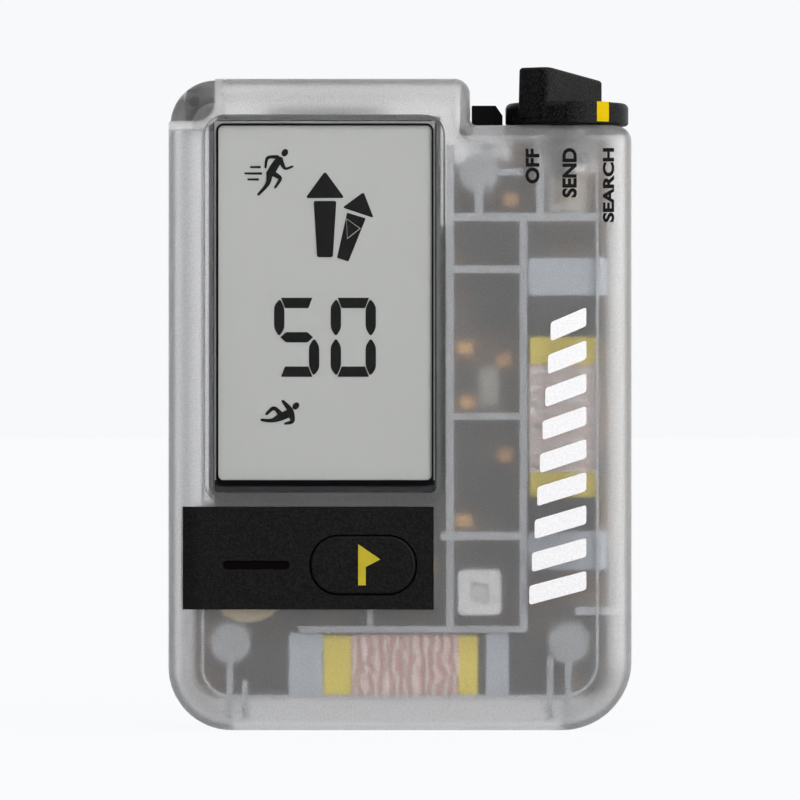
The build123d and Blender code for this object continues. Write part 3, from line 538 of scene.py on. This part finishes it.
def limb(path, widths):
    """The outline of a tapering limb that follows a smooth line through its points."""
    points = [Vector(p) for p in path]
    smooth, girth = [], []
    steps = 6
    for index in range(len(points) - 1):
        p0 = points[max(index - 1, 0)]
        p1, p2 = points[index], points[index + 1]
        p3 = points[min(index + 2, len(points) - 1)]
        for step in range(steps):
            t = step / steps
            smooth.append(0.5 * (2 * p1 + (p2 - p0) * t + (2 * p0 - 5 * p1 + 4 * p2 - p3) * t ** 2
                                 + (3 * p1 - p0 - 3 * p2 + p3) * t ** 3))
            girth.append(widths[index] * (1 - t) + widths[index + 1] * t)
    smooth.append(points[-1])
    girth.append(widths[-1])
    left, right = [], []
    for index, here in enumerate(smooth):
        ahead = smooth[min(index + 1, len(smooth) - 1)]
        behind = smooth[max(index - 1, 0)]
        along = (ahead - behind).normalized()
        across = Vector((-along.y, along.x)) * girth[index] / 2
        left.append(tuple(here + across))
        right.append(tuple(here - across))
    tip = (smooth[-1] - smooth[-2]).normalized() * girth[-1] / 2
    root = (smooth[0] - smooth[1]).normalized() * girth[0] / 2
    return left + [tuple(smooth[-1] + tip)] + right[::-1] + [tuple(smooth[0] + root)]


def display_figure(name, outlines, layer=0):
    """One dark segment of the display; overlapping ones stand on layers of their own."""
    lift = FIGURE_STEP * layer
    return stamp(name, outlines, FIGURE_FRONT - lift, FIGURE_DEPTH + lift, ink)


def running_figure():
    """A running person with three speed lines behind."""
    parts = [
        circle((-18.2, 91.42), 0.62, squash=0.8, lean=-0.5),
        limb([(-19.2, 90.2), (-20.0, 89.0), (-20.6, 87.9)], [1.1, 1.3, 1.15]),
        limb([(-19.3, 90.75), (-20.7, 90.7), (-21.1, 90.2), (-21.25, 89.05)], [0.6, 0.5, 0.48, 0.34]),
        limb([(-19.0, 90.45), (-18.45, 89.3), (-18.0, 88.9), (-16.95, 89.25)], [0.95, 0.6, 0.42, 0.34]),
        limb([(-20.6, 88.4), (-19.3, 87.7), (-18.95, 87.2), (-19.75, 85.9)], [0.95, 0.72, 0.55, 0.38]),
        limb([(-20.6, 88.3), (-20.75, 87.0), (-21.2, 86.1), (-22.4, 84.8)], [1.1, 0.8, 0.62, 0.4]),
    ]
    for index, outline in enumerate(parts):
        display_figure(f"running_figure_{index}", [outline], index)
    for index, (x, z, reach) in enumerate(((-23.7, 89.3, 1.7), (-24.6, 88.3, 2.8), (-24.1, 87.35, 1.8))):
        bar = [(x, z), (x + reach, z + 0.02), (x + reach, z - 0.36), (x, z - 0.3)]
        display_figure(f"speed_line_{index}", [round_corners(bar, 0.06)])


def buried_figure():
    """A lying person with raised knees."""
    parts = [
        circle((-16.45, 51.4), 0.62, squash=0.78, lean=-0.7),
        limb([(-18.55, 52.2), (-17.4, 50.8), (-17.05, 49.6), (-17.1, 48.9), (-18.2, 48.6)],
             [0.42, 0.95, 0.9, 0.62, 0.36]),
        limb([(-17.6, 50.2), (-19.0, 49.6), (-20.3, 49.1), (-21.9, 49.2)], [1.3, 1.2, 0.62, 0.42]),
        limb([(-18.8, 50.0), (-19.6, 50.9), (-20.2, 50.95), (-21.1, 50.1)], [0.9, 0.62, 0.6, 0.42]),
    ]
    for index, outline in enumerate(parts):
        display_figure(f"buried_figure_{index}", [outline], index)


def arrows():
    """The large arrow ahead and the small one that leans to the right."""
    head = [(-14.95, 84.25), (-8.75, 84.25), (-11.85, 88.5)]
    shaft = [(-13.65, 83.8), (-10.05, 83.8), (-10.6, 74.9), (-13.1, 74.9)]
    small_head = [(-9.1, 82.75), (-4.15, 81.1), (-5.75, 85.2)]
    small_shaft = [(-8.35, 81.95), (-5.4, 81.05), (-8.15, 74.2), (-9.95, 74.8)]
    triangle = [(-8.5, 81.05), (-6.2, 79.45), (-8.35, 77.75)]
    inner = [(-8.42, 80.9), (-6.38, 79.45), (-8.29, 77.95)]
    display_figure("arrow_head", [round_corners(head, 0.5)])
    display_figure("arrow_shaft", [round_corners(shaft, 0.35)])
    display_figure("small_arrow_head", [round_corners(small_head, 0.4)])
    display_figure("small_arrow_shaft", [round_corners(small_shaft, 0.2), triangle])
    display_figure("small_arrow_triangle", [inner])


def digit(name, left, low, segments):
    """A seven-segment digit. Segments are lettered a to g, clockwise from the top, with g in the middle."""
    width, height, bar, cut, gap = 7.15, 12.5, 1.64, 1.0, 0.08
    outer, inner, nose, tilt = 1.3, 1.4, 0.15, 0.1
    sharp, round_end = 0.12, 0.55
    right, top, middle = left + width, low + height, low + height / 2
    shapes = {
        "a": [(left + cut + gap, top), (right - cut - gap, top), (right - bar - gap, top - bar),
              (left + bar + gap, top - bar)],
        "b": [(right - cut + gap, top - tilt), (right, top - outer), (right, middle + inner),
              (right - bar / 2, middle + gap), (right - bar, middle + inner), (right - bar, top - bar)],
        "c": [(right - bar / 2, middle - gap), (right, middle - inner), (right, low + outer),
              (right - cut + gap, low + tilt), (right - bar, low + bar), (right - bar, middle - inner)],
        "d": [(left + cut + gap, low), (left + bar + gap, low + bar), (right - bar - gap, low + bar),
              (right - cut - gap, low)],
        "e": [(left + bar / 2, middle - gap), (left + bar, middle - inner), (left + bar, low + bar),
              (left + cut - gap, low + tilt), (left, low + outer), (left, middle - inner)],
        "f": [(left + cut - gap, top - tilt), (left + bar, top - bar), (left + bar, middle + inner),
              (left + bar / 2, middle + gap), (left, middle + inner), (left, top - outer)],
        "g": [(left + bar / 2 + nose, middle), (left + bar + 0.25, middle + bar / 2),
              (right - bar - 0.25, middle + bar / 2), (right - bar / 2 - nose, middle),
              (right - bar - 0.25, middle - bar / 2), (left + bar + 0.25, middle - bar / 2)],
    }
    for letter in segments:
        radius = round_end if letter in "bcef" else sharp
        display_figure(f"{name}_{letter}", [round_corners(shapes[letter], radius)])


def printed_word(name, text, right, low, cap_height, length):
    """A black word that reads upwards, printed on the case front; right is its baseline's X."""
    word = bpy.data.curves.new(name, "FONT")
    word.body = text
    word.extrude = PRINT_DEPTH / 2 * MM
    word.offset = 0.042 * MM
    word.size = 1.0 * MM
    sketch = bpy.data.objects.new(name + "_measure", word)
    bpy.context.scene.collection.objects.link(sketch)
    bpy.context.view_layer.update()
    drawn_length, drawn_height = sketch.dimensions.x, sketch.dimensions.y
    bpy.data.objects.remove(sketch)
    piece = settle(word, name, CASE_FRONT - PRINT_DEPTH, PRINT_DEPTH, print_black)
    stretch = (length * MM / drawn_length, 1, cap_height * MM / drawn_height, 1)
    piece.data.transform(Matrix.Diagonal(stretch))
    piece.data.transform(Matrix.Rotation(-math.pi / 2, 4, "Y"))
    lowest = Vector([min(v.co[axis] for v in piece.data.vertices) for axis in range(3)])
    highest = Vector([max(v.co[axis] for v in piece.data.vertices) for axis in range(3)])
    piece.data.transform(Matrix.Translation((right * MM - highest.x, 0, low * MM - lowest.z)))


def case_print():
    """A plain white ladder of slanted bars, where the case carries its large white print."""
    bars = 9
    left, right, low = 20.4, 29.4, 20.0
    rise, thick, slant, taper, corner = 5.2, 3.0, 2.4, 0.42, 0.5
    for index in range(bars):
        z = low + rise * index
        start = left + taper * index
        bar = [(start, z), (right, z + slant), (right, z + slant + thick), (start, z + thick)]
        stamp(f"case_stripe_{index}", [round_corners(bar, corner)], CASE_FRONT - PRINT_DEPTH, PRINT_DEPTH,
              print_white)


def lock_coil():
    """The lock button's spring, copied into a mesh of its own on the root body."""
    piece = bpy.data.objects.new("lock_coil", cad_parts["lock_spring"].data.copy())
    bpy.context.scene.collection.objects.link(piece)
    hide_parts("lock_spring")
    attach(piece, "root")
    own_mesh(piece)


# --------------------------------------------------------------------------------------------------- studio

def studio_light():
    """A pale surround: dim round the camera and at the front left, bright above, to the right and behind."""
    world = bpy.data.worlds.new("studio")
    world.use_nodes = True
    nodes, links = tree(world)
    toward = nodes.new("ShaderNodeVectorMath")
    toward.operation = "DOT_PRODUCT"
    toward.inputs[1].default_value = DIM_DIRECTION
    where = coordinates(world, "Generated")
    axes = split(world, where)
    links.new(where, toward.inputs[0])
    across = soft_step(world, axes["X"], -0.8, 0.8, LEFT_LIGHT, RIGHT_LIGHT)
    above = soft_step(world, axes["Z"], 0.15, 0.8, 1.0, TOP_LIGHT)
    dim = soft_step(world, toward.outputs["Value"], 0.66, 0.92, 1.0, DIM_LIGHT)
    front = math_node(world, "MULTIPLY", math_node(world, "MULTIPLY", across, above), dim)
    behind = soft_step(world, axes["Y"], -0.1, 0.35, 0.0, 1.0)
    rear_level = soft_step(world, axes["Z"], 0.1, 0.6, BACK_LIGHT, BACK_TOP_LIGHT)
    rear = math_node(world, "MULTIPLY", behind, rear_level)
    ahead = math_node(world, "SUBTRACT", 1.0, behind)
    level = math_node(world, "ADD", math_node(world, "MULTIPLY", front, ahead), rear)

    tone = nodes.new("ShaderNodeMix")
    tone.data_type = "RGBA"
    tone.inputs["A"].default_value = (0.96, 0.975, 1.0, 1.0)
    tone.inputs["B"].default_value = (1.0, 0.985, 0.965, 1.0)
    links.new(soft_step(world, axes["X"], -0.8, 0.8, 0.0, 1.0), tone.inputs["Factor"])
    glow = nodes["Background"]
    links.new(tone.outputs["Result"], glow.inputs["Color"])
    links.new(level, glow.inputs["Strength"])

    backdrop = nodes.new("ShaderNodeBackground")
    backdrop.inputs["Color"].default_value = (*PAPER, 1.0)
    seen = nodes.new("ShaderNodeLightPath")
    choice = nodes.new("ShaderNodeMixShader")
    links.new(seen.outputs["Is Camera Ray"], choice.inputs["Fac"])
    links.new(glow.outputs["Background"], choice.inputs[1])
    links.new(backdrop.outputs["Background"], choice.inputs[2])
    links.new(choice.outputs["Shader"], nodes["World Output"].inputs["Surface"])
    bpy.context.scene.world = world


def studio_floor():
    """A seamless floor: the backdrop's own tone to the eye, a soft light from below to the object."""
    near, far, half_width = -0.26, 8.0, 4.0
    mesh = bpy.data.meshes.new("floor")
    corners = [(-half_width, near, 0), (half_width, near, 0), (half_width, far, 0), (-half_width, far, 0)]
    mesh.from_pydata(corners, [], [(0, 1, 2, 3)])
    paper = new_material("floor_paper", (0.02, 0.02, 0.02), 0.9, Specular_IOR_Level=0.0)
    nodes = tree(paper)[0]
    nodes["Principled BSDF"].inputs["Emission Color"].default_value = (*PAPER, 1.0)
    seen = nodes.new("ShaderNodeLightPath")
    glow = soft_step(paper, seen.outputs["Is Camera Ray"], 0.0, 1.0, FLOOR_LIGHT, FLOOR_TONE)
    feed(paper, "Emission Strength", glow)
    mesh.materials.append(paper)
    floor = bpy.data.objects.new("floor", mesh)
    bpy.context.scene.collection.objects.link(floor)


def camera():
    """A long lens straight in front of the display, level with the middle of the view."""
    width_seen, eye_height = 0.1262, 0.05234
    view = bpy.data.cameras.new("camera")
    view.lens = 300
    view.sensor_width = 36
    view.clip_end = 20
    distance = width_seen * view.lens / view.sensor_width
    eye = bpy.data.objects.new("camera", view)
    eye.location = (0, cad_box[0][1] - distance, eye_height)
    eye.rotation_euler = (math.pi / 2, 0, 0)
    bpy.context.scene.collection.objects.link(eye)
    bpy.context.scene.camera = eye


ink = plain("display_ink", (0.005, 0.005, 0.005), 0.6, 400, 0.2, shine=0.1)
print_black = plain("print_black", (0.004, 0.004, 0.004), 0.6, 600, 0.2, shine=0.1)
print_white = plain("print_white", (0.72, 0.72, 0.735), 0.6, 2600, 0.07)

finish_nodes()
running_figure()
buried_figure()
arrows()
digit("digit_five", -19.9, 56.0, "afgcd")
digit("digit_zero", -10.95, 56.0, "abcdef")
printed_word("label_off", "OFF", 22.0, 86.5, 2.2, 5.5)
printed_word("label_send", "SEND", 27.9, 84.3, 2.3, 7.8)
printed_word("label_search", "SEARCH", 33.8, 80.4, 1.8, 11.7)
case_print()
lock_coil()
studio_light()
studio_floor()
camera()
bpy.context.scene.view_settings.view_transform = "Standard"
